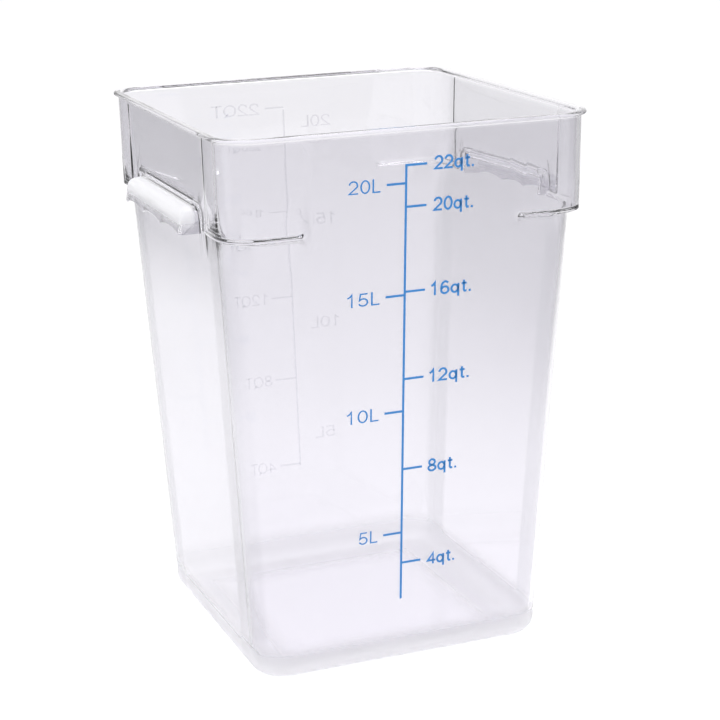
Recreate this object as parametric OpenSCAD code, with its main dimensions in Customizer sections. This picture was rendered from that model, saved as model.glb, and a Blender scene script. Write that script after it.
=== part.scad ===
// Square dough proofing container, about 22 US quarts, moulded in one piece
// from clear polycarbonate, with two grips open from below and a printed scale.
// It stands on z = 0, the scale faces -Y and the grips are on the two X sides.

/* [Body] */
// Height from the table to the top of the rim
height = 395; // [380:1:430]
// Width across the flat faces at the table
base_width = 222.4; // [205:0.2:235]
// Width across the flat faces where they reach the top of the rim
top_width = 268.8; // [255:0.2:285]
// Corner radius of the tapered body at the table
base_corner = 24.7; // [15:0.1:35]
// Corner radius of the tapered body, carried on up to the rim
top_corner = 32.6; // [20:0.1:40]
// Radius of the outside edge round the base
base_edge = 10; // [5:0.5:14]
// Thickness of the walls
wall_thickness = 3; // [2:0.1:4]
// Thickness of the floor
floor_thickness = 3; // [2:0.1:5]
// Radius inside, where the walls meet the floor
floor_fillet = 14; // [8:0.5:20]

/* [Shoulder band] */
// Height of the ledge under the wider band
ledge_height = 324; // [300:1:330]
// How far the band stands out from the body's faces at the ledge
ledge_depth = 3.5; // [2:0.1:5]
// How far it still stands out at the top
band_top_depth = 0.2; // [0:0.1:1.5]
// Height that the ledge takes to step out
ledge_rise = 3.2; // [2:0.1:5]
// Corner radius of the band at the top
band_corner = 23.5; // [16:0.5:30]
// Width of the plain middle of the front and back, where the ledge dies away
plain_panel_width = 156; // [100:1:170]
// Length over which each end of the ledge dies away
ledge_fade = 12; // [6:1:16]

/* [Rim] */
// How far the rim reaches out past the wall
rim_reach = 3.35; // [2:0.05:6]
// Thickness of the rim
rim_thickness = 3; // [2:0.1:5]
// Radius of the rim's inside edge
rim_inner_edge = 2.4; // [1:0.1:2.8]
// Radius of the corner under the rim
rim_fillet = 1.2; // [0.5:0.1:3]

/* [Grips] */
// Length of each grip
grip_length = 133.4; // [90:0.2:140]
// How far the lip of a grip stands out from the wall above it
grip_reach = 12.3; // [10:0.1:20]
// Height of a grip's roof over the ledge
grip_rise = 15.7; // [12:0.1:24]
// Depth of a grip from its roof to its lip
grip_drop = 18.5; // [14:0.1:26]
// Wall thickness of a grip
grip_wall = 3; // [2:0.1:4]
// Radius between the roof and the outside of a grip
grip_round = 7.5; // [5:0.5:9]
// Radius of a grip's upright corners
grip_corner = 2; // [1:0.1:3]
// How far the outside of a grip leans out towards its lip
grip_lean = 1; // [0:0.1:2]
// Number of finger scallops along the lip
scallops = 3; // [1:1:5]
// Height of each scallop
scallop_rise = 2.8; // [0:0.1:5]
// Clear wall beside each end of a grip, before the recess ends
recess_margin = 8.6; // [6:0.1:14]
// Radius of the recess's upper corners
recess_corner = 6.5; // [4:0.5:10]
// Share of the band's depth that the wall over a grip has
side_panel_share = 0.8; // [0.5:0.05:1]
// Width of the wall over a grip, between the two upright bends
side_panel_width = 177; // [170:1:190]

/* [Printed scale] */
// Quarts that have a mark
quart_marks = [4, 8, 12, 16, 20, 22];
// Litres that have a mark
litre_marks = [5, 10, 15, 20];
// How far each mark is printed below the level worked out from the volume
print_offset = 3.2; // [0:0.2:8]
// Width of the printed lines
line_width = 1.6; // [1:0.1:3]
// Thickness of the ink film, thick enough here to be a solid
ink_thickness = 0.2; // [0.1:0.05:0.5]
// Place of the upright line, left of the middle
spine_offset = 5.6; // [0:0.1:30]
// Length of a quart mark, to the right of the upright line
quart_tick = 15.1; // [6:0.1:30]
// Length of a litre mark, to the left of the upright line
litre_tick = 14.1; // [6:0.1:30]
// Length of the upright line below the lowest mark
spine_tail = 28.2; // [0:0.1:60]

/* [Hidden] */

quart = 946353;
litre = 1000000;

// Steps along each rounded stretch of the skin
corner_steps = 6;
edge_steps = 4;
fade_steps = 4;
scallop_steps = 4;
step_steps = 4;

taper = (top_width - base_width) / 2 / height;
lean_angle = atan(taper);
recess_half = grip_length / 2 + recess_margin;
recess_foot = 4;
recess_roof_gap = 0.8;
side_bend = 5;
lip_edge = 0.7;
crease_round = 2.5;
pocket_round = 1.5;
seam = 0.3;
grip_top = ledge_height + grip_rise;
grip_bottom = grip_top - grip_drop;
recess_top = grip_top + recess_roof_gap;

// Easy curve from 0 to 1
function ease(t) = let (u = min(1, max(0, t))) u * u * (3 - 2 * u);
function mix(a, b, t) = a + (b - a) * t;

// Half widths and corner centres of the tapered body and of the band
function body(z) = top_width / 2 - (height - z) * taper;
function band_depth(z) =
    mix(ledge_depth, band_top_depth, (z - ledge_height) / (height - ledge_height));
function band(z) = body(z) + band_depth(z);
function body_centre(z) = body(z) - mix(base_corner, top_corner, z / height);
band_centre = band(height) - band_corner;

// Share of the band's depth on the front and back faces, and on the two sides
function front_share(x) = ease((x - plain_panel_width / 2 + ledge_fade / 2) / ledge_fade);
function side_share(y) =
    mix(side_panel_share, 1, ease((y - side_panel_width / 2 + side_bend / 2) / side_bend));
function over_grip(z) = body(z) + side_panel_share * band_depth(z);

lip = over_grip(grip_top) + grip_reach;
grip_face = lip - grip_lean;

// The skin is a grid. Its columns run from the middle of the +X side to the
// middle of the +Y side: along the grip, round the grip's end, round the
// recess, round the container's corner and along the fading ledge.
finger = grip_length / scallops;
inner_half = grip_length / 2 - grip_wall;
grip_y = [for (y = [0 : finger / scallop_steps : inner_half - 1]) y];
end_columns = 3;
between = end_columns + 4 + 2 * (end_columns + 1);
bend_y = recess_half + recess_foot;
fade_x = [for (i = [0 : fade_steps])
    plain_panel_width / 2 + ledge_fade * (0.5 - i / fade_steps)];
side_y = concat(grip_y, [for (i = [1 : between + 1])
    mix(grip_y[len(grip_y) - 1], bend_y, i / (between + 1))]);
roof_corner = min(recess_corner, recess_margin - 6 * seam);
wall_y = grip_length / 2 + (seam + recess_margin - roof_corner) / 2;

// Ring that follows the whole wall: side, corner and front columns
function corner_point(a, half, centre, z) =
    [centre + (half - centre) * cos(a), centre + (half - centre) * sin(a), z];
function corner_columns(half, centre, z) = [for (i = [0 : corner_steps])
    corner_point(90 * i / corner_steps, half, centre, z)];
function plain_ring(half, z, centre) = let (pull = min(1, centre / body_centre(ledge_height)))
    concat(
        [for (y = side_y) [half, y * pull, z]],
        corner_columns(half, centre, z),
        [for (x = fade_x) [x * pull, half, z]],
        [[0, half, z]]);

// Ring above the ledge, where the panels stand out by their own share
function upper_ring(z, inset) = concat(
    [for (y = side_y) [body(z) + side_share(y) * band_depth(z) - inset, y, z]],
    corner_columns(band(z) - inset, band_centre, z),
    [for (x = fade_x) [x, body(z) + front_share(x) * band_depth(z) - inset, z]],
    [[0, body(z) - inset, z]]);

// Columns that cross the ledge and the recess's outline. "part" runs from 0
// below the ledge to 1 above it, and the inside crosses it a wall higher.
function cross(part) = ledge_rise * (part - 0.5);
function on_side(y, z, part, inset) =
    [body(z) + side_share(y) * ease(part) * band_depth(z) - inset, y, z];
function roof_columns(from, steps, part, up, inset) = [for (i = [0 : steps])
    on_side(mix(from, wall_y, i / steps), recess_top + cross(part) + up, part, inset)];
function outline_columns(part, up, inset) = let (o = cross(part) + up) concat(
    [for (i = [0 : end_columns]) let (a = 90 * i / end_columns, r = roof_corner + o)
        on_side(recess_half - roof_corner + r * sin(a),
            recess_top - roof_corner + r * cos(a), part, inset)],
    [for (i = [0 : end_columns]) let (a = 90 * i / end_columns, r = recess_foot - o)
        on_side(bend_y - r * cos(a), ledge_height + recess_foot - r * sin(a), part, inset)]);
function front_columns(part, up, inset) = [for (x = concat(fade_x, [0]))
    let (share = front_share(x), z = ledge_height + cross(part) * (5 - 4 * share) + up)
        [x, body(z) + share * ease(part) * band_depth(z) - inset, z]];
function ledge_columns(part, up, inset) = let (z = ledge_height + cross(part) + up) concat(
    outline_columns(part, up, inset),
    corner_columns(mix(body(z), band(z), ease(part)) - inset,
        mix(body_centre(z), band_centre, ease(part)), z),
    front_columns(part, up, inset));

// Profile of a grip, from the pocket's back wall round the lip to the crease
// over the roof. Each point is [stretch, x, z].
function arc_points(stretch, x, z, r, from, to, steps) = [for (i = [0 : steps])
    let (a = mix(from, to, i / steps)) [stretch, x + r * cos(a), z + r * sin(a)]];
POCKET = 0;
LIP_IN = 1;
LIP_OUT = 2;
OUTSIDE = 3;
CREASE = 4;
pocket_top = grip_top - grip_wall;
round_x = grip_face - grip_round;
round_z = grip_top - grip_round;
grip_profile = concat(
    arc_points(POCKET, body(pocket_top) + pocket_round, pocket_top - pocket_round,
        pocket_round, 180, 90, 1),
    arc_points(POCKET, round_x, round_z, grip_round - grip_wall, 90, 0, 2),
    arc_points(LIP_IN, lip - grip_wall + lip_edge, grip_bottom + lip_edge, lip_edge, 180, 270, 1),
    arc_points(LIP_OUT, lip - lip_edge, grip_bottom + lip_edge, lip_edge, 270, 360, 1),
    arc_points(OUTSIDE, round_x, round_z, grip_round, 0, 90, 3),
    arc_points(CREASE, over_grip(grip_top) + crease_round, grip_top + crease_round,
        crease_round, 270, 180, 2));
turn = max([for (i = [0 : len(grip_profile) - 1]) if (grip_profile[i][0] == LIP_IN) i]);
first_out = grip_profile[turn + 1];

// Height of the scalloped lip over its lowest points
function scallop(y) = let (t = 2 * ((y + grip_length / 2) % finger) / finger - 1)
    scallop_rise * (1 - t * t);

// Half length of the grip's outside where the profile is at x
function half_length(x) = grip_length / 2 - (lip - x);
function end_point(i, x) = let (a = 90 * i / end_columns, l = half_length(x) - grip_corner)
    [x - grip_corner + grip_corner * cos(a), l + grip_corner * sin(a)];

// One ring through a grip. In the pocket the end wall's columns lie in its
// flat lower edge, and outside they climb its face up to the crease.
function grip_columns(k) = let (
        p = grip_profile[k],
        last = half_length(p[1]) - grip_corner - 2 * seam,
        outer = p[0] >= LIP_OUT,
        on_lip = p[0] == LIP_IN || p[0] == LIP_OUT,
        reach = p[0] == CREASE ? half_length(round_x) - grip_corner - 2 * seam : last,
        scale = outer ? reach / inner_half : 1)
    [for (y = concat(grip_y, [inner_half]))
        [p[1], y * scale, p[2] + (on_lip ? scallop(y) : 0)]];
function end_wall_inside(k) = let (
        foot = body(grip_bottom),
        share = (k + 1) / (turn + 2),
        out = concat([[first_out[1], half_length(first_out[1]) - grip_corner - seam]],
            [for (i = [0 : end_columns]) end_point(i, first_out[1])]))
    [for (i = [0 : len(out) - 1])
        let (start = mix(inner_half, grip_length / 2, i / len(out)))
            [mix(foot, out[i][0], share), mix(start, out[i][1], share), grip_bottom]];
function end_wall_outside(k) = let (p = grip_profile[k]) concat(
    [[p[1], half_length(p[1]) - grip_corner - seam, p[2]]],
    [for (i = [0 : end_columns]) let (e = end_point(i, p[1])) [e[0], e[1], p[2]]]);
function end_wall_crease(k) = let (
        p = grip_profile[k],
        from = half_length(round_x) - grip_corner - seam,
        to = half_length(round_x))
    [for (i = [0 : end_columns + 1]) [p[1], mix(from, to, i / (end_columns + 1)), p[2]]];
function foot_point(k) = let (
        p = grip_profile[k],
        on_face = p[0] >= OUTSIDE,
        z = !on_face ? mix(grip_bottom, round_z, (k + 1) / (turn + 4))
            : p[2] + (p[0] == CREASE ? seam : 0),
        y = p[0] == CREASE ? half_length(round_x) : on_face ? half_length(p[1]) : grip_length / 2)
    on_side(y + seam, z, (z - recess_top) / ledge_rise + 0.5, 0);
function grip_ring(k) = let (p = grip_profile[k], part = k / (len(grip_profile) - 1)) concat(
    grip_columns(k),
    p[0] < LIP_OUT ? end_wall_inside(k) : p[0] == CREASE ? end_wall_crease(k) : end_wall_outside(k),
    [foot_point(k)],
    [on_side(wall_y, recess_top + cross(part), part, 0)],
    ledge_columns(part, 0, 0));

// The inside crosses the ledge in a few rings of its own
roof_count = end_columns + 4;
function inner_step_ring(part) = concat(
    [for (y = grip_y) on_side(y, recess_top + cross(part) + wall_thickness, part, wall_thickness)],
    roof_columns(inner_half, roof_count, part, wall_thickness, wall_thickness),
    ledge_columns(part, wall_thickness, wall_thickness));

// Rings in order, from the middle of the base out, up, over the rim and in
below_grip = grip_bottom - 20;
above_grip = recess_top + ledge_rise + wall_thickness + 2;
rim_under = height - rim_thickness;
under_rim = rim_under - rim_fillet - 2;
rim_bulge = rim_thickness / 2;
rim_half = band(height) + rim_reach;
inner_edge = band(height) - wall_thickness + rim_inner_edge;
rings = concat(
    [for (i = [0 : edge_steps]) let (a = 90 * i / edge_steps, z = base_edge * (1 - cos(a)))
        plain_ring(body(z) - base_edge * (1 - sin(a)), z, body_centre(z))],
    [plain_ring(body(below_grip), below_grip, body_centre(below_grip))],
    [for (k = [0 : len(grip_profile) - 1]) grip_ring(k)],
    [upper_ring(above_grip, 0)],
    [upper_ring(under_rim, 0)],
    [for (a = [0, 90]) let (z = rim_under - rim_fillet * (1 - sin(a)))
        plain_ring(band(z) + rim_fillet * (1 - cos(a)), z, band_centre)],
    [for (i = [0 : edge_steps]) let (a = -90 + 180 * i / edge_steps)
        plain_ring(rim_half - rim_bulge * (1 - cos(a)), height - rim_bulge * (1 - sin(a)),
            band_centre)],
    [for (i = [0 : 2]) let (a = 45 * i)
        plain_ring(inner_edge - rim_inner_edge * sin(a), height - rim_inner_edge * (1 - cos(a)),
            band_centre)],
    [upper_ring(under_rim, wall_thickness)],
    [upper_ring(above_grip + wall_thickness, wall_thickness)],
    [for (i = [0 : step_steps]) inner_step_ring(1 - i / step_steps)],
    [plain_ring(body(below_grip) - wall_thickness, below_grip, body_centre(below_grip))],
    [for (i = [0 : edge_steps]) let (a = 90 * i / edge_steps,
            z = floor_thickness + floor_fillet * (1 - sin(a)))
        plain_ring(body(z) - wall_thickness - floor_fillet * (1 - cos(a)), z, body_centre(z))]);

// A quadrant's points, mirrored into the whole ring
function flip(points, x, y) = [for (p = points) [p[0] * x, p[1] * y, p[2]]];
function back(points) = [for (i = [len(points) - 1 : -1 : 0]) points[i]];
function part_of(points, from, to) = [for (i = [from : to]) points[i]];
function whole(q) = let (n = len(q)) concat(
    q,
    part_of(back(flip(q, -1, 1)), 1, n - 1),
    part_of(flip(q, -1, -1), 1, n - 1),
    part_of(back(flip(q, 1, -1)), 1, n - 2));

module skin(ring_list) {
    loops = [for (q = ring_list) whole(q)];
    n = len(loops[0]);
    m = len(loops);
    centres = [[0, 0, loops[0][0][2]], [0, 0, loops[m - 1][0][2]]];
    points = concat([for (loop = loops) each loop], centres);
    sides = [for (i = [0 : m - 2]) for (j = [0 : n - 1]) let (next = (j + 1) % n)
        each [[i * n + j, i * n + n + next, i * n + next],
            [i * n + j, i * n + n + j, i * n + n + next]]];
    caps = [for (j = [0 : n - 1]) let (next = (j + 1) % n)
        each [[m * n, j, next], [m * n + 1, (m - 1) * n + next, (m - 1) * n + j]]];
    polyhedron(points, concat(sides, caps));
}

// Volume held up to a height over the floor, from the wall's slope and corners
function inner_half_width(z) = body(z) - wall_thickness;
function inner_radius(z) = inner_half_width(z) - body_centre(z);
function level_area(z) = 4 * pow(inner_half_width(z), 2) - (4 - PI) * pow(inner_radius(z), 2);
function volume_to(z) = let (low = floor_thickness)
    (z - low) * (level_area(low) + 4 * level_area((low + z) / 2) + level_area(z)) / 6;
function level(volume, low = 0, high = 2 * height, tries = 40) = let (middle = (low + high) / 2)
    tries == 0 ? middle
    : volume_to(middle) < volume ? level(volume, middle, high, tries - 1)
    : level(volume, low, middle, tries - 1);
function mark_height(volume) = level(volume) - print_offset;

// Place things on the leaning front face: x, then height over the table
module on_front(x, z)
    translate([0, -base_width / 2, 0])
        rotate([lean_angle, 0, 0])
            translate([x, -ink_thickness / 2, z / cos(lean_angle)])
                children();

module stroke(from_x, to_x, z)
    on_front((from_x + to_x) / 2, z)
        cube([to_x - from_x, ink_thickness, line_width], center = true);

// The moulded container, with its rim, shoulder band, recesses and grips
module container()
    color([0.86, 0.86, 0.9, 0.55])
        skin(rings);

// Upright printed line from below the lowest mark up to the top one
module scale_line() {
    top = mark_height(max(quart_marks) * quart) + line_width / 2;
    bottom = mark_height(min(quart_marks) * quart) - spine_tail;
    color([0.24, 0.45, 0.72])
        on_front(-spine_offset, (top + bottom) / 2)
            cube([line_width, ink_thickness, (top - bottom) / cos(lean_angle)], center = true);
}

// Printed quart marks, one to the right of the line at each volume
module quart_marks_ink()
    color([0.24, 0.45, 0.72])
        for (q = quart_marks)
            stroke(-spine_offset + line_width / 2, quart_tick - spine_offset, mark_height(q * quart));

// Printed litre marks, one to the left of the line at each volume
module litre_marks_ink()
    color([0.24, 0.45, 0.72])
        for (l = litre_marks)
            stroke(-spine_offset - litre_tick, -spine_offset - line_width / 2,
                mark_height(l * litre));

container();
scale_line();
quart_marks_ink();
litre_marks_ink();
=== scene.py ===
# %% [markdown]
# # A square dough proofing container
#
# The real object is one piece of clear polycarbonate, injection moulded, with
# a blue scale printed on its front. There is no lid, so the mouth is open. The
# scene makes the moulding as one smooth skin, because light bends at every
# bend of the wall, and a coarse skin would show its facets in the reflections.

from math import atan, cos, pi, radians, sin

import bpy
from mathutils import Matrix, Vector


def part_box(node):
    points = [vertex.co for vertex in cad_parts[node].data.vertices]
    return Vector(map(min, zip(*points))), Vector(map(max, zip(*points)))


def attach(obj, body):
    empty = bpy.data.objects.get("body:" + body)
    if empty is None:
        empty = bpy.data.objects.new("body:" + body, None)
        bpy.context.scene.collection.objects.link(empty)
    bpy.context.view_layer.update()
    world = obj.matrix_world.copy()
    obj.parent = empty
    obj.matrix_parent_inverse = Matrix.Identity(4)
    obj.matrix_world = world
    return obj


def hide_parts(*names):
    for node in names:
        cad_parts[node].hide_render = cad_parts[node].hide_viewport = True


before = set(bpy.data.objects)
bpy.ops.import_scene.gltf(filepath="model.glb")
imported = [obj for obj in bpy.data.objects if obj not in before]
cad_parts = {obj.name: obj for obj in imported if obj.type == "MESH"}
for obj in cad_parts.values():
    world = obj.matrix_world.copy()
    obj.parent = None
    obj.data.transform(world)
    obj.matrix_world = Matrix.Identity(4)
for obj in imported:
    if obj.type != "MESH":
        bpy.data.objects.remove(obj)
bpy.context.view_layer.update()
MM = 0.001


# %% [markdown]
# ## Sizes
#
# These are the container's own sizes, in metres. The walls lean out by about
# three degrees so that the moulding leaves its tool and so that empty
# containers stack inside each other. The overall height comes from the frame.

# %% Named sizes
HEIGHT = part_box("container")[1][2]
BASE_WIDTH = 222.4 * MM
TOP_WIDTH = 268.8 * MM
BASE_CORNER = 24.7 * MM
TOP_CORNER = 32.6 * MM
BASE_EDGE = 10 * MM
WALL = 3 * MM
FLOOR = 3 * MM
FLOOR_FILLET = 14 * MM
LEDGE_HEIGHT = 324 * MM
LEDGE_DEPTH = 3.5 * MM
BAND_TOP_DEPTH = 0.2 * MM
LEDGE_RISE = 3.2 * MM
BAND_CORNER = 23.5 * MM
PLAIN_PANEL = 156 * MM
LEDGE_FADE = 12 * MM
RIM_REACH = 3.35 * MM
RIM_THICKNESS = 3 * MM
RIM_INNER_EDGE = 2.4 * MM
RIM_FILLET = 1.2 * MM
GRIP_LENGTH = 133.4 * MM
GRIP_REACH = 12.8 * MM
GRIP_RISE = 15.7 * MM
GRIP_DROP = 18.5 * MM
GRIP_WALL = 3 * MM
GRIP_ROUND = 7.5 * MM
GRIP_CORNER = 2 * MM
GRIP_LEAN = 1 * MM
SCALLOPS = 3
SCALLOP_RISE = 2.8 * MM
RECESS_MARGIN = 8.6 * MM
RECESS_CORNER = 6.5 * MM
RECESS_FOOT = 4 * MM
RECESS_GAP = 0.8 * MM
SIDE_SHARE = 0.8
SIDE_PANEL = 177 * MM
SIDE_BEND = 2.4 * MM
PANEL_STEP = 0.5 * MM
LIP_EDGE = 0.7 * MM
CREASE = 2.5 * MM
POCKET_ROUND = 1.5 * MM
SEAM = 0.3 * MM

TAPER = (TOP_WIDTH - BASE_WIDTH) / 2 / HEIGHT
LEAN = atan(TAPER)
GRIP_TOP = LEDGE_HEIGHT + GRIP_RISE
GRIP_BOTTOM = GRIP_TOP - GRIP_DROP
RECESS_TOP = GRIP_TOP + RECESS_GAP
RECESS_HALF = GRIP_LENGTH / 2 + RECESS_MARGIN
INNER_HALF = GRIP_LENGTH / 2 - GRIP_WALL
FINGER = GRIP_LENGTH / SCALLOPS
print("The walls lean", round(LEAN * 180 / pi, 2), "degrees")

# %% [markdown]
# ## The moulding's form
#
# The skin is a grid of rings. Each ring goes once round the container, and the
# rings go from the middle of the base up the outside, over the rim and down
# the inside. One function gives the wall's half width at a height, and others
# say how much wider the shoulder band is there. A quarter of a ring is worked
# out and mirrored, because the four quarters are alike.

# %% Wall formulas
CORNER_STEPS = 20
EDGE_STEPS = 10
FADE_STEPS = 14
SCALLOP_STEPS = 14
STEP_STEPS = 10
BEND_STEPS = 4
END_STEPS = 8


def mix(a, b, t):
    return a + (b - a) * t


def ease(t):
    """Easy curve from 0 to 1."""
    u = min(1.0, max(0.0, t))
    return u * u * (3 - 2 * u)


def body(z):
    """Half width of the tapered body at height z."""
    return TOP_WIDTH / 2 - (HEIGHT - z) * TAPER


def band_depth(z):
    """How far the band stands out from the body."""
    return mix(LEDGE_DEPTH, BAND_TOP_DEPTH, (z - LEDGE_HEIGHT) / (HEIGHT - LEDGE_HEIGHT))


def band(z):
    return body(z) + band_depth(z)


def body_centre(z):
    return body(z) - mix(BASE_CORNER, TOP_CORNER, z / HEIGHT)


def front_share(x):
    return ease((x - PLAIN_PANEL / 2 + LEDGE_FADE / 2) / LEDGE_FADE)


def side_share(y):
    return mix(SIDE_SHARE, 1, ease((y - SIDE_PANEL / 2 + SIDE_BEND / 2) / SIDE_BEND))


def panel_step(y):
    """How much lower the flat side panel lies than its share of the band."""
    return PANEL_STEP * (1 - ease((y - SIDE_PANEL / 2 + SIDE_BEND / 2) / SIDE_BEND))


def over_grip(z):
    return body(z) + SIDE_SHARE * band_depth(z) - PANEL_STEP


BAND_CENTRE = band(HEIGHT) - BAND_CORNER
LIP = over_grip(GRIP_TOP) + GRIP_REACH
GRIP_FACE = LIP - GRIP_LEAN
ROUND_X = GRIP_FACE - GRIP_ROUND
ROUND_Z = GRIP_TOP - GRIP_ROUND
ROOF_CORNER = min(RECESS_CORNER, RECESS_MARGIN - 6 * SEAM)
WALL_Y = GRIP_LENGTH / 2 + (SEAM + RECESS_MARGIN - ROOF_CORNER) / 2
BEND_Y = RECESS_HALF + RECESS_FOOT

GRIP_COUNT = int((INNER_HALF - MM) / (FINGER / SCALLOP_STEPS)) + 1
grip_y = [i * FINGER / SCALLOP_STEPS for i in range(GRIP_COUNT)]
BETWEEN = END_STEPS + 4 + 2 * (END_STEPS + 1)
side_y = grip_y + [mix(grip_y[-1], BEND_Y, i / (BETWEEN + 1)) for i in range(1, BETWEEN + 2)]
bend_y = [SIDE_PANEL / 2 + SIDE_BEND * (i / BEND_STEPS - 0.5) for i in range(BEND_STEPS + 1)]
side_y += bend_y
fade_x = [PLAIN_PANEL / 2 + LEDGE_FADE * (0.5 - i / FADE_STEPS) for i in range(FADE_STEPS + 1)]


def steps(count):
    return [i / count for i in range(count + 1)]


def corner_columns(half, centre, z):
    """The quarter circle of a corner."""
    r = half - centre
    return [(centre + r * cos(pi / 2 * t), centre + r * sin(pi / 2 * t), z)
            for t in steps(CORNER_STEPS)]


def plain_ring(half, z, centre):
    """A ring with flat sides."""
    pull = min(1.0, centre / body_centre(LEDGE_HEIGHT))
    return ([(half, y * pull, z) for y in side_y] + corner_columns(half, centre, z)
            + [(x * pull, half, z) for x in fade_x] + [(0.0, half, z)])


def upper_ring(z, inset):
    """A ring above the ledge, where each panel stands out by its own share."""
    depth = band_depth(z)
    return ([(body(z) + side_share(y) * depth - panel_step(y) - inset, y, z) for y in side_y]
            + corner_columns(band(z) - inset, BAND_CENTRE, z)
            + [(x, body(z) + front_share(x) * depth - inset, z) for x in fade_x]
            + [(0.0, body(z) - inset, z)])


print("The band is", round(2 * band(HEIGHT) / MM, 1), "mm wide under the rim")

# %% [markdown]
# The ledge is a small S-shaped step. It runs round each corner, dies away on
# the front and back, and turns up beside each grip into the outline of a
# recess, which leaves room for fingers. The inside of the wall repeats the
# step one wall thickness higher, so that the plastic is equally thick.

# %% Ledge and recess formulas


def cross(part):
    return LEDGE_RISE * (part - 0.5)


def on_side(y, z, part, inset=0.0):
    out = side_share(y) * band_depth(z) - panel_step(y)
    return (body(z) + ease(part) * out - inset, y, z)


def ledge_columns(part, up=0.0, inset=0.0):
    """Recess outline, corner and fading ledge for one ring across the step."""
    offset = cross(part) + up
    columns = []
    for t in steps(END_STEPS):
        r = ROOF_CORNER + offset
        columns.append(on_side(RECESS_HALF - ROOF_CORNER + r * sin(pi / 2 * t),
                               RECESS_TOP - ROOF_CORNER + r * cos(pi / 2 * t), part, inset))
    for t in steps(END_STEPS):
        r = RECESS_FOOT - offset
        columns.append(on_side(BEND_Y - r * cos(pi / 2 * t),
                               LEDGE_HEIGHT + RECESS_FOOT - r * sin(pi / 2 * t), part, inset))
    z = LEDGE_HEIGHT + offset
    columns += [on_side(y, z, part, inset) for y in bend_y]
    columns += corner_columns(mix(body(z), band(z), ease(part)) - inset,
                              mix(body_centre(z), BAND_CENTRE, ease(part)), z)
    for x in fade_x + [0.0]:
        share = front_share(x)
        z = LEDGE_HEIGHT + cross(part) * (5 - 4 * share) + up
        columns.append((x, body(z) + share * ease(part) * band_depth(z) - inset, z))
    return columns


print("Each recess is", round(2 * RECESS_HALF / MM, 1), "mm long")

# %% [markdown]
# Each grip is a hood that is open from below. Its profile starts at the back
# wall of the finger pocket, goes under the roof, down the inside to the lip,
# round the lip, up the outside and back to the wall in a soft crease. Steel
# cores slide in from below to mould it, so nothing closes the pocket. Three
# shallow scallops along the lip fit the fingers.

# %% Grip formulas


def arc(stretch, x, z, r, first, last, count):
    return [(stretch, x + r * cos(radians(mix(first, last, t))),
             z + r * sin(radians(mix(first, last, t)))) for t in steps(count)]


POCKET, LIP_IN, LIP_OUT, OUTSIDE, ROOT = range(5)
POCKET_TOP = GRIP_TOP - GRIP_WALL
profile = (
    arc(POCKET, body(POCKET_TOP) + POCKET_ROUND, POCKET_TOP - POCKET_ROUND, POCKET_ROUND, 180, 90, 3)
    + arc(POCKET, ROUND_X, ROUND_Z, GRIP_ROUND - GRIP_WALL, 90, 0, 5)
    + arc(LIP_IN, LIP - GRIP_WALL + LIP_EDGE, GRIP_BOTTOM + LIP_EDGE, LIP_EDGE, 180, 270, 3)
    + arc(LIP_OUT, LIP - LIP_EDGE, GRIP_BOTTOM + LIP_EDGE, LIP_EDGE, 270, 360, 3)
    + arc(OUTSIDE, ROUND_X, ROUND_Z, GRIP_ROUND, 0, 90, 8)
    + arc(ROOT, over_grip(GRIP_TOP) + CREASE, GRIP_TOP + CREASE, CREASE, 270, 180, 5))
turn = max(i for i, point in enumerate(profile) if point[0] == LIP_IN)
before_outside = max(i for i, point in enumerate(profile) if point[0] == LIP_OUT)
first_out = profile[turn + 1]


def scallop(y):
    t = 2 * ((y + GRIP_LENGTH / 2) % FINGER) / FINGER - 1
    return SCALLOP_RISE * (1 - t * t)


def half_length(x):
    """Half length of the grip's outside where its profile is at x."""
    return GRIP_LENGTH / 2 - (LIP - x)


def end_points(x):
    """The grip's rounded upright corner, from its face to its end."""
    flat = half_length(x) - GRIP_CORNER
    return [(x, flat - SEAM)] + [
        (x - GRIP_CORNER + GRIP_CORNER * cos(pi / 2 * t), flat + GRIP_CORNER * sin(pi / 2 * t))
        for t in steps(END_STEPS)]


def end_wall(k):
    """The end wall's columns for profile point k."""
    stretch, x, z = profile[k]
    if stretch < LIP_OUT:
        out = end_points(first_out[1])
        share = k / (turn + 1)
        foot = body(GRIP_BOTTOM)
        return [(mix(foot, px, share),
                 mix(mix(INNER_HALF, GRIP_LENGTH / 2, i / len(out)), py, share), GRIP_BOTTOM)
                for i, (px, py) in enumerate(out)]
    if stretch == ROOT:
        last = half_length(ROUND_X)
        first = last - GRIP_CORNER - SEAM
        return [(x, mix(first, last, t), z) for t in steps(END_STEPS + 1)]
    return [(px, py, z) for px, py in end_points(x)]


def foot_point(k):
    """Where the end wall meets the container's side."""
    stretch, x, z = profile[k]
    if stretch < OUTSIDE:
        z = mix(GRIP_BOTTOM, ROUND_Z, (k + 1) / (before_outside + 2))
        y = GRIP_LENGTH / 2
    else:
        y = half_length(ROUND_X if stretch == ROOT else x)
        z += SEAM if stretch == ROOT else 0
    return on_side(y + SEAM, z, (z - RECESS_TOP) / LEDGE_RISE + 0.5)


def grip_ring(k):
    stretch, x, z = profile[k]
    reach = half_length(ROUND_X if stretch == ROOT else x) - GRIP_CORNER - 2 * SEAM
    scale = reach / INNER_HALF if stretch >= LIP_OUT else 1.0
    on_lip = stretch in (LIP_IN, LIP_OUT)
    part = k / (len(profile) - 1)
    return ([(x, y * scale, z + (scallop(y) if on_lip else 0)) for y in grip_y + [INNER_HALF]]
            + end_wall(k) + [foot_point(k)]
            + [on_side(WALL_Y, RECESS_TOP + cross(part), part)] + ledge_columns(part))


def inner_step_ring(part):
    roof = [mix(INNER_HALF, WALL_Y, t) for t in steps(END_STEPS + 4)]
    z = RECESS_TOP + cross(part) + WALL
    return [on_side(y, z, part, WALL) for y in grip_y + roof] + ledge_columns(part, WALL, WALL)


print("The grip's profile has", len(profile), "points")

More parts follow.
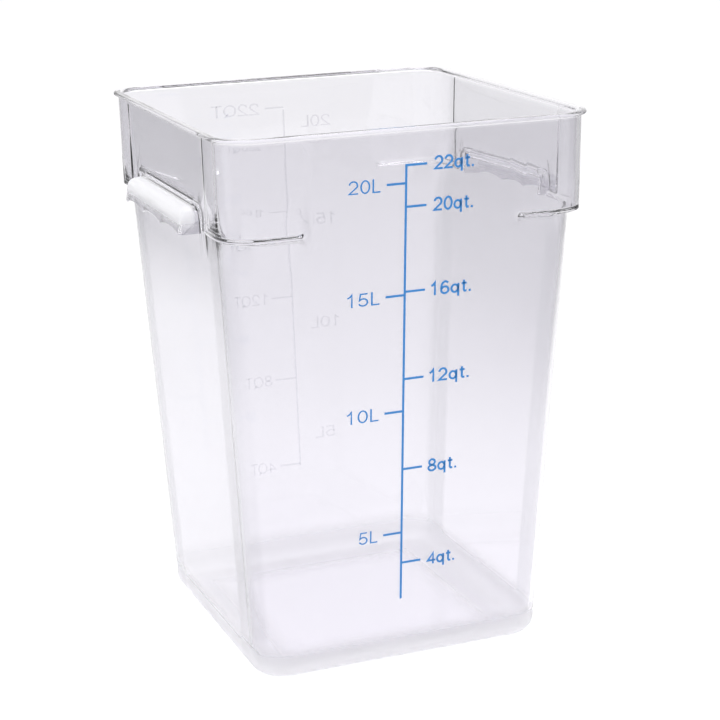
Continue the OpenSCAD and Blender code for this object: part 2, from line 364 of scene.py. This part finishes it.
# %% [markdown]
# ## The whole skin
#
# The rings are stacked in the order that a finger would follow over the
# surface. Quads join neighbouring rings, and a point in the middle of the base
# closes each end of the stack, so that the skin encloses the real volume of
# plastic. Light then enters and leaves the wall as it does in a real one.

# %% Stack the rings
BELOW_GRIP = GRIP_BOTTOM - 20 * MM
ABOVE_GRIP = RECESS_TOP + LEDGE_RISE + WALL + 2 * MM
RIM_UNDER = HEIGHT - RIM_THICKNESS
UNDER_RIM = RIM_UNDER - RIM_FILLET - 2 * MM
BULGE = RIM_THICKNESS / 2
RIM_HALF = band(HEIGHT) + RIM_REACH
INNER_EDGE = band(HEIGHT) - WALL + RIM_INNER_EDGE


def all_rings():
    rings = []
    for t in steps(EDGE_STEPS):
        z = BASE_EDGE * (1 - cos(pi / 2 * t))
        rings.append(plain_ring(body(z) - BASE_EDGE * (1 - sin(pi / 2 * t)), z, body_centre(z)))
    for t in steps(4):
        z = mix(BASE_EDGE, BELOW_GRIP, 0.02 + 0.98 * t)
        rings.append(plain_ring(body(z), z, body_centre(z)))
    rings += [grip_ring(k) for k in range(len(profile))]
    rings += [upper_ring(ABOVE_GRIP, 0), upper_ring(UNDER_RIM, 0)]
    for t in steps(4):
        z = RIM_UNDER - RIM_FILLET * (1 - sin(pi / 2 * t))
        rings.append(plain_ring(band(z) + RIM_FILLET * (1 - cos(pi / 2 * t)), z, BAND_CENTRE))
    for t in steps(EDGE_STEPS):
        a = pi * (t - 0.5)
        rings.append(plain_ring(RIM_HALF - BULGE * (1 - cos(a)), HEIGHT - BULGE * (1 - sin(a)),
                                BAND_CENTRE))
    for t in steps(5):
        a = pi / 2 * t
        rings.append(plain_ring(INNER_EDGE - RIM_INNER_EDGE * sin(a),
                                HEIGHT - RIM_INNER_EDGE * (1 - cos(a)), BAND_CENTRE))
    rings += [upper_ring(UNDER_RIM, WALL), upper_ring(ABOVE_GRIP + WALL, WALL)]
    rings += [inner_step_ring(1 - t) for t in steps(STEP_STEPS)]
    for t in steps(4):
        z = mix(BELOW_GRIP, FLOOR + FLOOR_FILLET, 0.98 * t)
        rings.append(plain_ring(body(z) - WALL, z, body_centre(z)))
    for t in steps(EDGE_STEPS):
        a = pi / 2 * t
        z = FLOOR + FLOOR_FILLET * (1 - sin(a))
        rings.append(plain_ring(body(z) - WALL - FLOOR_FILLET * (1 - cos(a)), z, body_centre(z)))
    return rings


quarter_rings = all_rings()
print("Rings:", len(quarter_rings))

# %% Close the rings into a mesh


def whole(quarter):
    """A quarter mirrored into a closed ring."""
    left = [(-x, y, z) for x, y, z in reversed(quarter)][1:]
    far = [(-x, -y, z) for x, y, z in quarter][1:]
    right = [(x, -y, z) for x, y, z in reversed(quarter)][1:-1]
    return quarter + left + far + right


def add_mesh(name, points, faces, material, sharp=None):
    """A new object that rides on the container's body."""
    mesh = bpy.data.meshes.new(name)
    mesh.from_pydata(points, [], faces)
    mesh.validate()
    mesh.materials.append(material)
    obj = bpy.data.objects.new(name, mesh)
    bpy.context.scene.collection.objects.link(obj)
    if sharp is not None:
        mesh.polygons.foreach_set("use_smooth", [True] * len(mesh.polygons))
        mesh.set_sharp_from_angle(angle=radians(sharp))
    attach(obj, "root")
    return obj


def skin_mesh():
    loops = [whole(ring) for ring in quarter_rings]
    count = len(loops[0])
    points = [point for loop in loops for point in loop]
    faces = []
    for i in range(len(loops) - 1):
        low = i * count
        for j in range(count):
            k = (j + 1) % count
            faces.append((low + j, low + k, low + count + k, low + count + j))
    top = (len(loops) - 1) * count
    points += [(0.0, 0.0, loops[0][0][2]), (0.0, 0.0, loops[-1][0][2])]
    for j in range(count):
        k = (j + 1) % count
        faces.append((len(points) - 2, k, j))
        faces.append((len(points) - 1, top + j, top + k))
    return points, faces


skin_points, skin_faces = skin_mesh()
print("The skin has", len(skin_faces), "faces")

# %% [markdown]
# ## A small shader language
#
# A material is easier to read as arithmetic than as a list of links. The first
# class wraps one socket of the node tree, so that sums and products of sockets
# become nodes. Every other node comes from one method of the second class,
# which takes the node's type, its settings and then its inputs.

# %% A socket with arithmetic


class Socket:
    """A value in a shader, with arithmetic."""

    def __init__(self, shader, output):
        self.shader = shader
        self.output = output

    def maths(self, operation, *others):
        values = {i: value for i, value in enumerate((self,) + others)}
        return self.shader.node("ShaderNodeMath", {"operation": operation}, values)

    def __add__(self, other):
        return self.maths("ADD", other)

    def __sub__(self, other):
        return self.maths("SUBTRACT", other)

    def __mul__(self, other):
        return self.maths("MULTIPLY", other)

    def __rsub__(self, other):
        return self.shader.node("ShaderNodeMath", {"operation": "SUBTRACT"}, {0: other, 1: self})

    def __abs__(self):
        return self.maths("ABSOLUTE")

    __radd__ = __add__
    __rmul__ = __mul__

    def between(self, low, high):
        """0 below low, 1 above high, smooth in between."""
        return self.shader.node("ShaderNodeMapRange", {"interpolation_type": "SMOOTHSTEP"},
                                {"Value": self, "From Min": low, "From Max": high})


# %% A node tree that is written as arithmetic


class Shader:
    """Makes the nodes of a material or of the surroundings."""

    def __init__(self, owner):
        owner.use_nodes = True
        self.tree = owner.node_tree
        self.tree.nodes.clear()

    def node(self, kind, settings=None, inputs=None, output=0):
        node = self.tree.nodes.new(kind)
        for name, value in (settings or {}).items():
            setattr(node, name, value)
        for name, value in (inputs or {}).items():
            if isinstance(value, Socket):
                self.tree.links.new(value.output, node.inputs[name])
            else:
                node.inputs[name].default_value = value
        return Socket(self, node.outputs[output])

    def place(self):
        """The point's x, y and z on the object, in metres."""
        point = self.node("ShaderNodeTexCoord", output="Object")
        return [self.node("ShaderNodeSeparateXYZ", None, {0: point}, axis) for axis in (0, 1, 2)]

    def noise(self, scale, detail=2.0):
        point = self.node("ShaderNodeTexCoord", output="Object")
        return self.node("ShaderNodeTexNoise", None,
                         {"Vector": point, "Scale": scale, "Detail": detail})

    def bump(self, height, strength, distance):
        return self.node("ShaderNodeBump", None,
                         {"Height": height, "Strength": strength, "Distance": distance})

    def colours(self, factor, first, second):
        return self.node("ShaderNodeMix", {"data_type": "RGBA"},
                         {0: factor, 6: first, 7: second}, 2)

    def blend(self, factor, first, second):
        return self.node("ShaderNodeMixShader", None, {0: factor, 1: first, 2: second})

    def lets_light_through(self, surface):
        """Clear to the light that falls through it, as thin plastic is."""
        shadow = self.node("ShaderNodeLightPath", output="Is Shadow Ray")
        diffuse = self.node("ShaderNodeLightPath", output="Is Diffuse Ray")
        straight = self.node("ShaderNodeBsdfTransparent", None, {"Color": PASSING_LIGHT})
        return self.blend((shadow + diffuse).between(0.0, 1.0), surface, straight)

    def surface(self, shader):
        result = self.tree.nodes.new("ShaderNodeOutputMaterial")
        self.tree.links.new(shader.output, result.inputs["Surface"])


def new_material(name):
    material = bpy.data.materials.new(name)
    return material, Shader(material)


# %% [markdown]
# ## Clear polycarbonate
#
# Polycarbonate bends light a little more than glass, with an index of 1.585.
# The wall is polished but not quite flat, so a weak broad ripple bends the
# reflections. Each grip is sparked in the mould, which leaves it frosted where
# the hand pulls. The foot has a fine haze, and each upright corner a grainier
# strip beside it.
#
# The real plastic has one faint lavender grey tint all over. Most of the greys in
# the photograph come from its studio, which isn't known, so building that
# studio lamp by lamp would take many guesses. Here those greys are painted
# into the plastic's colour instead, as painted shade. It deepens towards the
# band, and the back, sides, corners, foot and rim have their own, with the
# left side painted darker than the right. That comes close to the photograph's
# greys from its own side, and leaves the plastic a little uneven from the others.

# %% Tints and where they lie
POLYCARBONATE_INDEX = 1.585
PASSING_LIGHT = (0.966, 0.963, 0.972, 1)
BODY_CENTRE_AT_BASE = body_centre(0)
BODY_CENTRE_SLOPE = (body_centre(HEIGHT) - body_centre(0)) / HEIGHT
# Painted shade: the band, back, sides, corners, foot and rim are painted greyer than the wall's own
# tint, the left side more than the right.
BAND_PAINTED_SHADE = (0.77, 0.761, 0.793, 1)
WALL_TINT = (0.955, 0.945, 0.975, 1)
BACK_PAINTED_SHADE = (0.92, 0.91, 0.945, 1)
SIDE_PAINTED_SHADE = (0.8, 0.792, 0.825, 1)
CORNER_GRAIN_AND_SHADE = (0.79, 0.785, 0.815, 1)
RIM_PAINTED_SHADE = (0.92, 0.91, 0.94, 1)
FOOT_HAZE_AND_SHADE = (0.85, 0.84, 0.87, 1)
FROST_DARK = (0.78, 0.78, 0.805, 1)
FROST_LIGHT = (0.95, 0.95, 0.965, 1)
FINE_GRAIN = 900.0
BROAD_RIPPLE = 14.0
GRIP_MILK = 0.5
FOOT_MILK = 0.12
FROST_TINT = (0.97, 0.97, 0.985, 1)
BACK_SHADE_STRENGTH = 0.85
LEFT_SHADE_STRENGTH = 0.6
RIGHT_SHADE_STRENGTH = 0.1


def frosted_grip(x, y, z):
    """1 on a grip, fading out towards its lip."""
    wall = body(GRIP_TOP)
    end = GRIP_LENGTH / 2
    return (abs(x).between(wall + 1.5 * MM, wall + 4 * MM)
            * z.between(GRIP_BOTTOM, ROUND_Z + 4 * MM)
            * (1 - z.between(GRIP_TOP + 2 * MM, GRIP_TOP + 4 * MM))
            * (1 - abs(y).between(end, end + 2 * MM)))


def hazy_and_shaded_foot(x, y, z):
    """1 round the foot, which scatters light a little and is painted darker there as painted shade.
    """
    widest = (abs(x) + abs(y) + abs(abs(x) - abs(y))) * 0.5
    return (1 - z.between(10 * MM, 30 * MM)) * widest.between(60 * MM, 100 * MM)


def corner_strip(x, y, z):
    """1 on the sides beside each upright corner, below the ledge."""
    past = abs(y) - (BODY_CENTRE_AT_BASE + z * BODY_CENTRE_SLOPE)
    return (abs(x).between(body(0) - 4 * MM, body(0)) * past.between(-22 * MM, -16 * MM)
            * (1 - past.between(8 * MM, 13 * MM))
            * (1 - z.between(LEDGE_HEIGHT - 14 * MM, LEDGE_HEIGHT + 6 * MM)))


def tint_with_painted_shade(s, x, y, z):
    """The plastic's tint with painted shade, deeper towards the band and set apart on the back, the
    sides (the left more than the right) and the rim.
    """
    above_foot = z.between(10 * MM, 40 * MM)
    side = (abs(x) - abs(y)).between(-4 * MM, 4 * MM) * above_foot
    right = x.between(-10 * MM, 10 * MM)
    tint_and_shade = s.colours(z.between(-20 * MM, 350 * MM), WALL_TINT, BAND_PAINTED_SHADE)
    tint_and_shade = s.colours(y.between(90 * MM, 105 * MM) * above_foot * BACK_SHADE_STRENGTH, tint_and_shade, BACK_PAINTED_SHADE)
    tint_and_shade = s.colours(side * (LEFT_SHADE_STRENGTH - (LEFT_SHADE_STRENGTH - RIGHT_SHADE_STRENGTH) * right), tint_and_shade, SIDE_PAINTED_SHADE)
    return s.colours(z.between(UNDER_RIM, RIM_UNDER), tint_and_shade, RIM_PAINTED_SHADE)


# %% Put the clear plastic together


def clear_plastic():
    material, s = new_material("clear_plastic")
    x, y, z = s.place()
    frost = frosted_grip(x, y, z)
    foot = hazy_and_shaded_foot(x, y, z)
    strip = corner_strip(x, y, z)
    grain = s.noise(FINE_GRAIN, 3.0)
    tint_and_shade = s.colours(frost, tint_with_painted_shade(s, x, y, z), FROST_TINT)
    # The foot is painted darker as painted shade, besides its real haze.
    tint_and_shade = s.colours(foot, tint_and_shade, FOOT_HAZE_AND_SHADE)
    # Grainy strips beside the corners, painted darker as painted shade.
    tint_and_shade = s.colours(strip * (0.6 + 0.4 * grain), tint_and_shade, CORNER_GRAIN_AND_SHADE)
    roughness = (0.015 + 0.02 * s.noise(60.0) + frost * (0.42 + 0.2 * grain)
                 + 0.1 * strip + 0.4 * foot)
    height = s.noise(BROAD_RIPPLE, 1.0) + (frost + 0.3 * strip) * grain * 0.2
    surface = s.node("ShaderNodeBsdfPrincipled", None, {
        "Base Color": tint_and_shade, "Roughness": roughness, "IOR": POLYCARBONATE_INDEX,
        "Transmission Weight": 1.0, "Normal": s.bump(height, 0.12, 0.0008)})
    white = s.node("ShaderNodeBsdfPrincipled", None, {
        "Base Color": s.colours(grain, FROST_DARK, FROST_LIGHT),
        "Roughness": 0.55, "Normal": s.bump(grain, 0.3, 0.0003)})
    milky = s.blend(frost * GRIP_MILK + foot * FOOT_MILK, surface, white)
    s.surface(s.lets_light_through(milky))
    return material


clear = clear_plastic()
tub = add_mesh("moulded_container", skin_points, skin_faces, clear, 32)
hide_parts("container")
print("Clear plastic nodes:", len(clear.node_tree.nodes))

# %% [markdown]
# ## Printed ink
#
# The scale is screen printed. The ink is a thin opaque blue film with a satin
# surface. Its density is not quite even, so the colour varies a little over a
# few millimetres. The line and its marks are solids in the frame already, so
# they only need a material, a noise that mixes two blues.

# %% Ink material and the printed lines
INK_DARK = (0.02, 0.175, 0.49, 1)
INK_LIGHT = (0.035, 0.25, 0.63, 1)


def printed_ink():
    material, s = new_material("blue_ink")
    mottle = s.noise(220.0, 4.0)
    surface = s.node("ShaderNodeBsdfPrincipled", None, {
        "Base Color": s.colours(mottle, INK_DARK, INK_LIGHT),
        "Roughness": 0.38 + 0.2 * mottle,
        "Normal": s.bump(s.noise(1500.0), 0.2, 0.00005)})
    s.surface(surface)
    return material


ink = printed_ink()
for name in ("scale_line", "quart_marks_ink", "litre_marks_ink"):
    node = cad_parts[name]
    node.data.materials.clear()
    node.data.materials.append(ink)
print("Ink on", len(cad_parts) - 1, "printed nodes")

# %% [markdown]
# ## Where each mark goes
#
# The marks stand at the level that each volume reaches inside the tapered
# wall. The same sum is done here as in the model's source, for the numbers
# beside the marks and for the raised scale on the back.

# %% Levels from volumes
QUART = 946353e-9
LITRE = 1e-3
PRINT_OFFSET = 3.2 * MM
QUARTS = (4, 8, 12, 16, 20, 22)
LITRES = (5, 10, 15, 20)


def level_area(z):
    half = body(z) - WALL
    radius = half - body_centre(z)
    return 4 * half ** 2 - (4 - pi) * radius ** 2


def volume_to(z):
    return (z - FLOOR) * (level_area(FLOOR) + 4 * level_area((FLOOR + z) / 2) + level_area(z)) / 6


def mark_height(volume):
    """Height of the mark for a volume, found by halving."""
    low, high = FLOOR, 2 * HEIGHT
    for _ in range(40):
        middle = (low + high) / 2
        low, high = (middle, high) if volume_to(middle) < volume else (low, middle)
    return low - PRINT_OFFSET


print("Top mark at", round(mark_height(22 * QUART) / MM, 1), "mm")

# %% [markdown]
# ## Numbers and letters
#
# Plain numbers with their units stand beside the marks. The quart figures are
# bold and the litre figures are lighter. Each figure is drawn as a few strokes
# of even width, as a screen printer's plain lettering is, then fitted to its
# real width and laid on the leaning wall. The back's raised figures use them too.

# %% Lettering on a leaning wall
CAP = 9.6 * MM


def wall_axes(side):
    """Right, up and out on the front (-1) or back (1) wall."""
    right = Vector((-side, 0, 0))
    up = Vector((0, side * sin(LEAN), cos(LEAN)))
    out = Vector((0, side * cos(LEAN), -sin(LEAN)))
    return right, up, out


def on_wall(points, side, z):
    """Points (right, up, out) measured from height z on the wall's middle line."""
    right, up, out = wall_axes(side)
    start = Vector((0, side * body(z), z))
    return [start + right * u + up * v + out * w for u, v, w in points]


# %% Strokes of each figure


def bow(x, y, rx, ry, first=0, last=360):
    """An arc of an ellipse as points."""
    return [(x + rx * cos(radians(mix(first, last, t))), y + ry * sin(radians(mix(first, last, t))))
            for t in steps(28)]


# Each figure is a few strokes along the middle of its lines, with capitals one high
STROKES = {
    "0": [bow(0.39, 0.5, 0.27, 0.44)],
    "1": [[(0.17, 0.7), (0.33, 0.79), (0.44, 0.97), (0.44, 0.0)]],
    "2": [bow(0.38, 0.67, 0.26, 0.27, 172, -38) + [(0.1, 0.07), (0.69, 0.07)]],
    "4": [[(0.53, 0.0), (0.53, 0.88), (0.09, 0.29), (0.73, 0.29)]],
    "5": [[(0.64, 0.93), (0.21, 0.93), (0.14, 0.46)] + bow(0.37, 0.32, 0.27, 0.26, 140, -160)],
    "6": [bow(0.4, 0.31, 0.26, 0.25), bow(0.43, 0.47, 0.29, 0.47, 190, 48)],
    "8": [bow(0.39, 0.27, 0.27, 0.21), bow(0.39, 0.73, 0.22, 0.21)],
    "q": [bow(0.36, 0.34, 0.24, 0.28), [(0.62, 0.71), (0.62, -0.26)]],
    "t": [[(0.21, 0.9), (0.21, 0.17), (0.27, 0.07), (0.41, 0.07)], [(0.04, 0.66), (0.41, 0.66)]],
    "L": [[(0.15, 1.0), (0.15, 0.06), (0.62, 0.06)]],
    "Q": [bow(0.48, 0.5, 0.37, 0.44), [(0.58, 0.26), (0.86, -0.04)]],
    "T": [[(0.04, 0.94), (0.72, 0.94)], [(0.38, 0.94), (0.38, 0.0)]],
    ".": [[(0.16, 0.0), (0.16, 0.16)]],
}
ADVANCE = {"q": 0.82, "t": 0.48, ".": 0.34, "Q": 0.96, "T": 0.78, "L": 0.68}


# %% From strokes to flat bars


def ribbon(line, half):
    """Left and right edges of a stroke, with its bends mitred."""
    closed = abs(line[0][0] - line[-1][0]) + abs(line[0][1] - line[-1][1]) < 1e-6
    line = [Vector(point) for point in line]
    edges = []
    for i, point in enumerate(line):
        before = line[i - 1] if i else (line[-2] if closed else None)
        after = line[i + 1] if i + 1 < len(line) else (line[1] if closed else None)
        into = (point - before).normalized() if before is not None else None
        away = (after - point).normalized() if after is not None else into
        into = into if into is not None else away
        along = (into + away).normalized()
        reach = half / max(0.45, along.dot(away))
        side = Vector((-along.y, along.x)) * reach
        edges.append((point + side, point - side))
    return edges


def letter_mesh(text, half):
    """Flat bars for a text, as points (right, up, 0 or 1) and faces."""
    points, faces = [], []
    start = 0.0
    for letter in text:
        for line in STROKES[letter]:
            edges = ribbon(line, half)
            first = len(points)
            for left, right in edges:
                for edge, deep in ((left, 0), (right, 0), (right, 1), (left, 1)):
                    points.append((start + edge.x, edge.y, deep))
            for i in range(len(edges) - 1):
                a = first + 4 * i
                for j in range(4):
                    k = (j + 1) % 4
                    faces.append((a + j, a + k, a + 4 + k, a + 4 + j))
            last = len(points) - 4
            faces += [(first + 3, first + 2, first + 1, first), (last, last + 1, last + 2, last + 3)]
        start += ADVANCE.get(letter, 0.76)
    return points, faces


def label(name, text, side, left, width, z, cap, half, depth, material):
    """A text laid on the front (-1) or back (1) wall, fitted to its real width."""
    points, faces = letter_mesh(text, half)
    low = min(u for u, v, w in points)
    high = max(u for u, v, w in points)
    across = width / (high - low)
    flat = [(left + (u - low) * across, v * cap, (0.1 + 0.9 * w) * depth) for u, v, w in points]
    return add_mesh(name, on_wall(flat, side, z), faces, material)


# %% The printed figures
BOLD = 0.078
LIGHT = 0.052
INK_FILM = 0.12 * MM
QUART_LEFT = 13.8 * MM
LITRE_RIGHT = -24.2 * MM
QUART_WIDTHS = (22.4 * MM, 30.4 * MM)
LITRE_WIDTHS = (14.2 * MM, 23.8 * MM)


def fitting(widths, volume):
    """The width for one or two digits."""
    return widths[1] if volume > 9 else widths[0]


for quarts in QUARTS:
    width = fitting(QUART_WIDTHS, quarts)
    piece = label("figure_%d_quart" % quarts, "%dqt." % quarts, -1, QUART_LEFT, width,
                  mark_height(quarts * QUART) - CAP / 2, CAP, BOLD, INK_FILM, ink)
for litres in LITRES:
    width = fitting(LITRE_WIDTHS, litres)
    piece = label("figure_%d_litre" % litres, "%dL" % litres, -1, LITRE_RIGHT - width, width,
                  mark_height(litres * LITRE) - CAP / 2, CAP, LIGHT, INK_FILM, ink)
print("Printed figures:", len(QUARTS) + len(LITRES))

# %% [markdown]
# ## The raised scale on the back
#
# The mould also has a plain scale cut in its back, which leaves raised lines
# and figures on the outside of the back wall. They are read from behind, so
# they look mirrored through the front. They are about a third of a millimetre
# high and clear, so they show as faint grey lines. On the real wall they are
# one with it. Here they are thin bars laid just over it, with an index close
# to that of air, so that they bend light hardly at all, and the grey that
# their edges would give is painted into their colour as painted shade.

# %% Raised lines and figures
RELIEF = 0.35 * MM
RELIEF_LINE = 1.2 * MM
RELIEF_SPINE = -3 * MM
RELIEF_CAP = 9.4 * MM
RELIEF_TICK = 15 * MM
RELIEF_LIFT = 2 * MM
RELIEF_QUART_LEFT = 16 * MM
RELIEF_LITRE_RIGHT = -18 * MM
RELIEF_QUART_WIDTHS = (31 * MM, 40 * MM)
RELIEF_LITRE_WIDTHS = (17 * MM, 25 * MM)
# Painted shade: the raised bars are painted grey in place of the shade that bent light would give
# them.
RELIEF_DARK = (0.845, 0.84, 0.865, 1)
RELIEF_LIGHT = (0.9, 0.895, 0.915, 1)


def raised_plastic():
    material, s = new_material("raised_plastic")
    surface = s.node("ShaderNodeBsdfPrincipled", None, {
        "Base Color": s.colours(s.noise(300.0), RELIEF_DARK, RELIEF_LIGHT),
        "Roughness": 0.1 + 0.1 * s.noise(700.0), "IOR": 1.08, "Transmission Weight": 1.0})
    s.surface(surface)
    return material


def bar(name, u0, u1, v0, v1, z):
    """A raised bar on the back wall."""
    corners = [(u0, v0), (u1, v0), (u1, v1), (u0, v1)]
    points = [(u, v, w) for w in (0.02 * MM, RELIEF) for u, v in corners]
    faces = [(3, 2, 1, 0), (4, 5, 6, 7), (0, 1, 5, 4), (1, 2, 6, 5), (2, 3, 7, 6), (3, 0, 4, 7)]
    return add_mesh(name, on_wall(points, 1, z), faces, raised)


# %% Lay the raised scale on the back
raised = raised_plastic()
bottom = mark_height(4 * QUART)
spine_length = (mark_height(22 * QUART) - bottom) / cos(LEAN)
bar("raised_line", RELIEF_SPINE - RELIEF_LINE / 2, RELIEF_SPINE + RELIEF_LINE / 2,
                  0, spine_length, bottom)
for quarts in QUARTS:
    z = mark_height(quarts * QUART) + RELIEF_LIFT
    bar("raised_%d_quart" % quarts, RELIEF_SPINE, RELIEF_SPINE + RELIEF_TICK,
                      -RELIEF_LINE / 2, RELIEF_LINE / 2, z)
    width = fitting(RELIEF_QUART_WIDTHS, quarts)
    label("raised_figure_%d_quart" % quarts, "%dQT" % quarts, 1, RELIEF_QUART_LEFT,
                        width, z - RELIEF_CAP / 2, RELIEF_CAP, LIGHT, RELIEF, raised)
for litres in LITRES:
    z = mark_height(litres * LITRE) + RELIEF_LIFT
    width = fitting(RELIEF_LITRE_WIDTHS, litres)
    label("raised_figure_%d_litre" % litres, "%dL" % litres, 1,
                        RELIEF_LITRE_RIGHT - width, width, z - RELIEF_CAP / 2, RELIEF_CAP, LIGHT,
                        RELIEF, raised)

# %% [markdown]
# ## The studio
#
# The picture is a plain catalogue picture: a white floor that runs into a
# white background, and soft light all round. The room behind the camera is
# darker, and so is the floor beside the white sweep. The plastic reflects and
# bends both, which greys its band and draws the lines along rim and ledge.
#
# The floor is much darker to reflected rays than to bent ones, which no real
# floor is. With the same darkness for both, the walls looked smoky from the
# side and from behind, so this is a compromise.

# %% Floor
AZIMUTH = radians(-21.857)
CAMERA_REACH = 1.42
SWEEP_SPREAD = 0.19
SWEEP_EDGE = (0.2, 0.5)
SWEEP_START = (0.7, 1.1)
MIRRORED_SHADE = 0.55
FLOOR_SHADE = 0.22


def pale_floor():
    """A white sweep that the plastic sees end on both sides of the picture."""
    material, s = new_material("pale_floor")
    x, y, z = s.place()
    sideways = abs(x * cos(AZIMUTH) + y * sin(AZIMUTH))
    ahead = y * cos(AZIMUTH) - x * sin(AZIMUTH) + CAMERA_REACH
    past_edge = (sideways - SWEEP_SPREAD * ahead).between(*SWEEP_EDGE)
    beside = past_edge * ahead.between(*SWEEP_START)
    seen = s.node("ShaderNodeLightPath", output="Is Camera Ray")
    diffuse = s.node("ShaderNodeLightPath", output="Is Diffuse Ray")
    mirrored = s.node("ShaderNodeLightPath", output="Is Reflection Ray")
    shade = beside * (FLOOR_SHADE + MIRRORED_SHADE * mirrored)
    shade = shade * (1 - (seen + diffuse).between(0.0, 1.0))
    pale = s.colours(s.noise(3.0), (0.93, 0.93, 0.935, 1), (0.95, 0.95, 0.955, 1))
    surface = s.node("ShaderNodeBsdfPrincipled", None, {
        "Base Color": s.colours(shade, pale, (0.02, 0.02, 0.022, 1)),
        "Roughness": 0.9, "Specular IOR Level": 0.0})
    s.surface(surface)
    return material


FLOOR_REACH = 8.0
floor_mesh = bpy.data.meshes.new("studio_floor")
edge = FLOOR_REACH
floor_mesh.from_pydata([(-edge, -edge, 0), (edge, -edge, 0), (edge, edge, 0), (-edge, edge, 0)], [],
                       [(0, 1, 2, 3)])
floor_mesh.materials.append(pale_floor())
studio_floor = bpy.data.objects.new("studio_floor", floor_mesh)
studio_floor.location.z = -0.2 * MM
bpy.context.scene.collection.objects.link(studio_floor)
print("The floor is", 2 * FLOOR_REACH, "m wide")


# %% Surroundings and lights
ROOM_DARKNESS = 0.5
PLAIN_LEVEL = 1.09


def surroundings():
    """White seen directly, darker behind the camera for what the plastic mirrors or bends."""
    world = bpy.data.worlds.new("studio")
    bpy.context.scene.world = world
    s = Shader(world)
    direction = s.node("ShaderNodeTexCoord", output="Generated")
    across, along, up = [s.node("ShaderNodeSeparateXYZ", None, {0: direction}, i) for i in range(3)]
    behind = 1 - (along + 0.25 * across).between(-0.75, 0.1)
    overhead = abs(up).between(0.2, 0.6)
    room = 1 - ROOM_DARKNESS * behind * (1 - overhead)
    seen = s.node("ShaderNodeLightPath", output="Is Camera Ray")
    diffuse = s.node("ShaderNodeLightPath", output="Is Diffuse Ray")
    plain = (seen + diffuse).between(0.0, 1.0)
    level = room + (PLAIN_LEVEL - room) * plain
    background = s.node("ShaderNodeBackground", None, {"Color": (1, 1, 1, 1), "Strength": level})
    output = s.tree.nodes.new("ShaderNodeOutputWorld")
    s.tree.links.new(background.output, output.inputs["Surface"])


surroundings()


def soft_box(name, place, target, width, height, power):
    data = bpy.data.lights.new(name, "AREA")
    data.shape = "RECTANGLE"
    data.size = width
    data.size_y = height
    data.energy = power
    lamp = bpy.data.objects.new(name, data)
    lamp.location = place
    lamp.rotation_euler = (Vector(target) - Vector(place)).to_track_quat("-Z", "Y").to_euler()
    bpy.context.scene.collection.objects.link(lamp)


CENTRE = (0, 0, HEIGHT / 2)
soft_box("left_box", (-1.3, -0.9, 1.04), CENTRE, 0.12, 0.06, 1.2)
soft_box("top_box", (0.3, 0.3, 1.8), CENTRE, 1.2, 0.8, 5)

# %% [markdown]
# ## The camera
#
# The camera stands a metre and a half away, to the left of the front and a
# little above the rim, as in the photograph. Its place was worked out from the
# lines of the rim, the ledge and the base.

# %% Camera from the photograph's view
ELEVATION = radians(16.114)
ROLL = radians(-1.001)
DISTANCE = 1.4763
SHIFT_RIGHT = -11.05 * MM
SHIFT_UP = -0.4 * MM
PICTURE = 720
FOCAL_PIXELS = 1960.8


def make_camera():
    right = Vector((cos(AZIMUTH), sin(AZIMUTH), 0))
    back = Vector((sin(AZIMUTH) * cos(ELEVATION), -cos(AZIMUTH) * cos(ELEVATION), sin(ELEVATION)))
    up = back.cross(right)
    across = right * cos(ROLL) + up * sin(ROLL)
    upward = up * cos(ROLL) - right * sin(ROLL)
    data = bpy.data.cameras.new("camera")
    data.sensor_width = 36
    data.lens = FOCAL_PIXELS / PICTURE * data.sensor_width
    camera = bpy.data.objects.new("camera", data)
    place = Vector(CENTRE) - across * SHIFT_RIGHT - upward * SHIFT_UP + back * DISTANCE
    turned = Matrix((across, upward, back)).transposed().to_4x4()
    camera.matrix_world = Matrix.Translation(place) @ turned
    bpy.context.scene.collection.objects.link(camera)
    bpy.context.scene.camera = camera


make_camera()
print("Camera at", [round(v, 3) for v in bpy.context.scene.camera.matrix_world.translation])

# %% [markdown]
# ## Render settings
#
# Clear plastic needs many bounces, because the rim and the ledge lead a ray
# round their bends, and a ray that runs out of bounces leaves a black line.
# The view transform is Standard, so a colour renders about as it is written.
# The engine, the samples and the picture's size are left to whoever renders.

# %% Settings and the end
scene = bpy.context.scene
scene.cycles.use_denoising = True
scene.cycles.max_bounces = 32
scene.cycles.transmission_bounces = 24
scene.cycles.glossy_bounces = 24
scene.cycles.diffuse_bounces = 3
scene.cycles.transparent_max_bounces = 12
scene.view_settings.view_transform = "Standard"
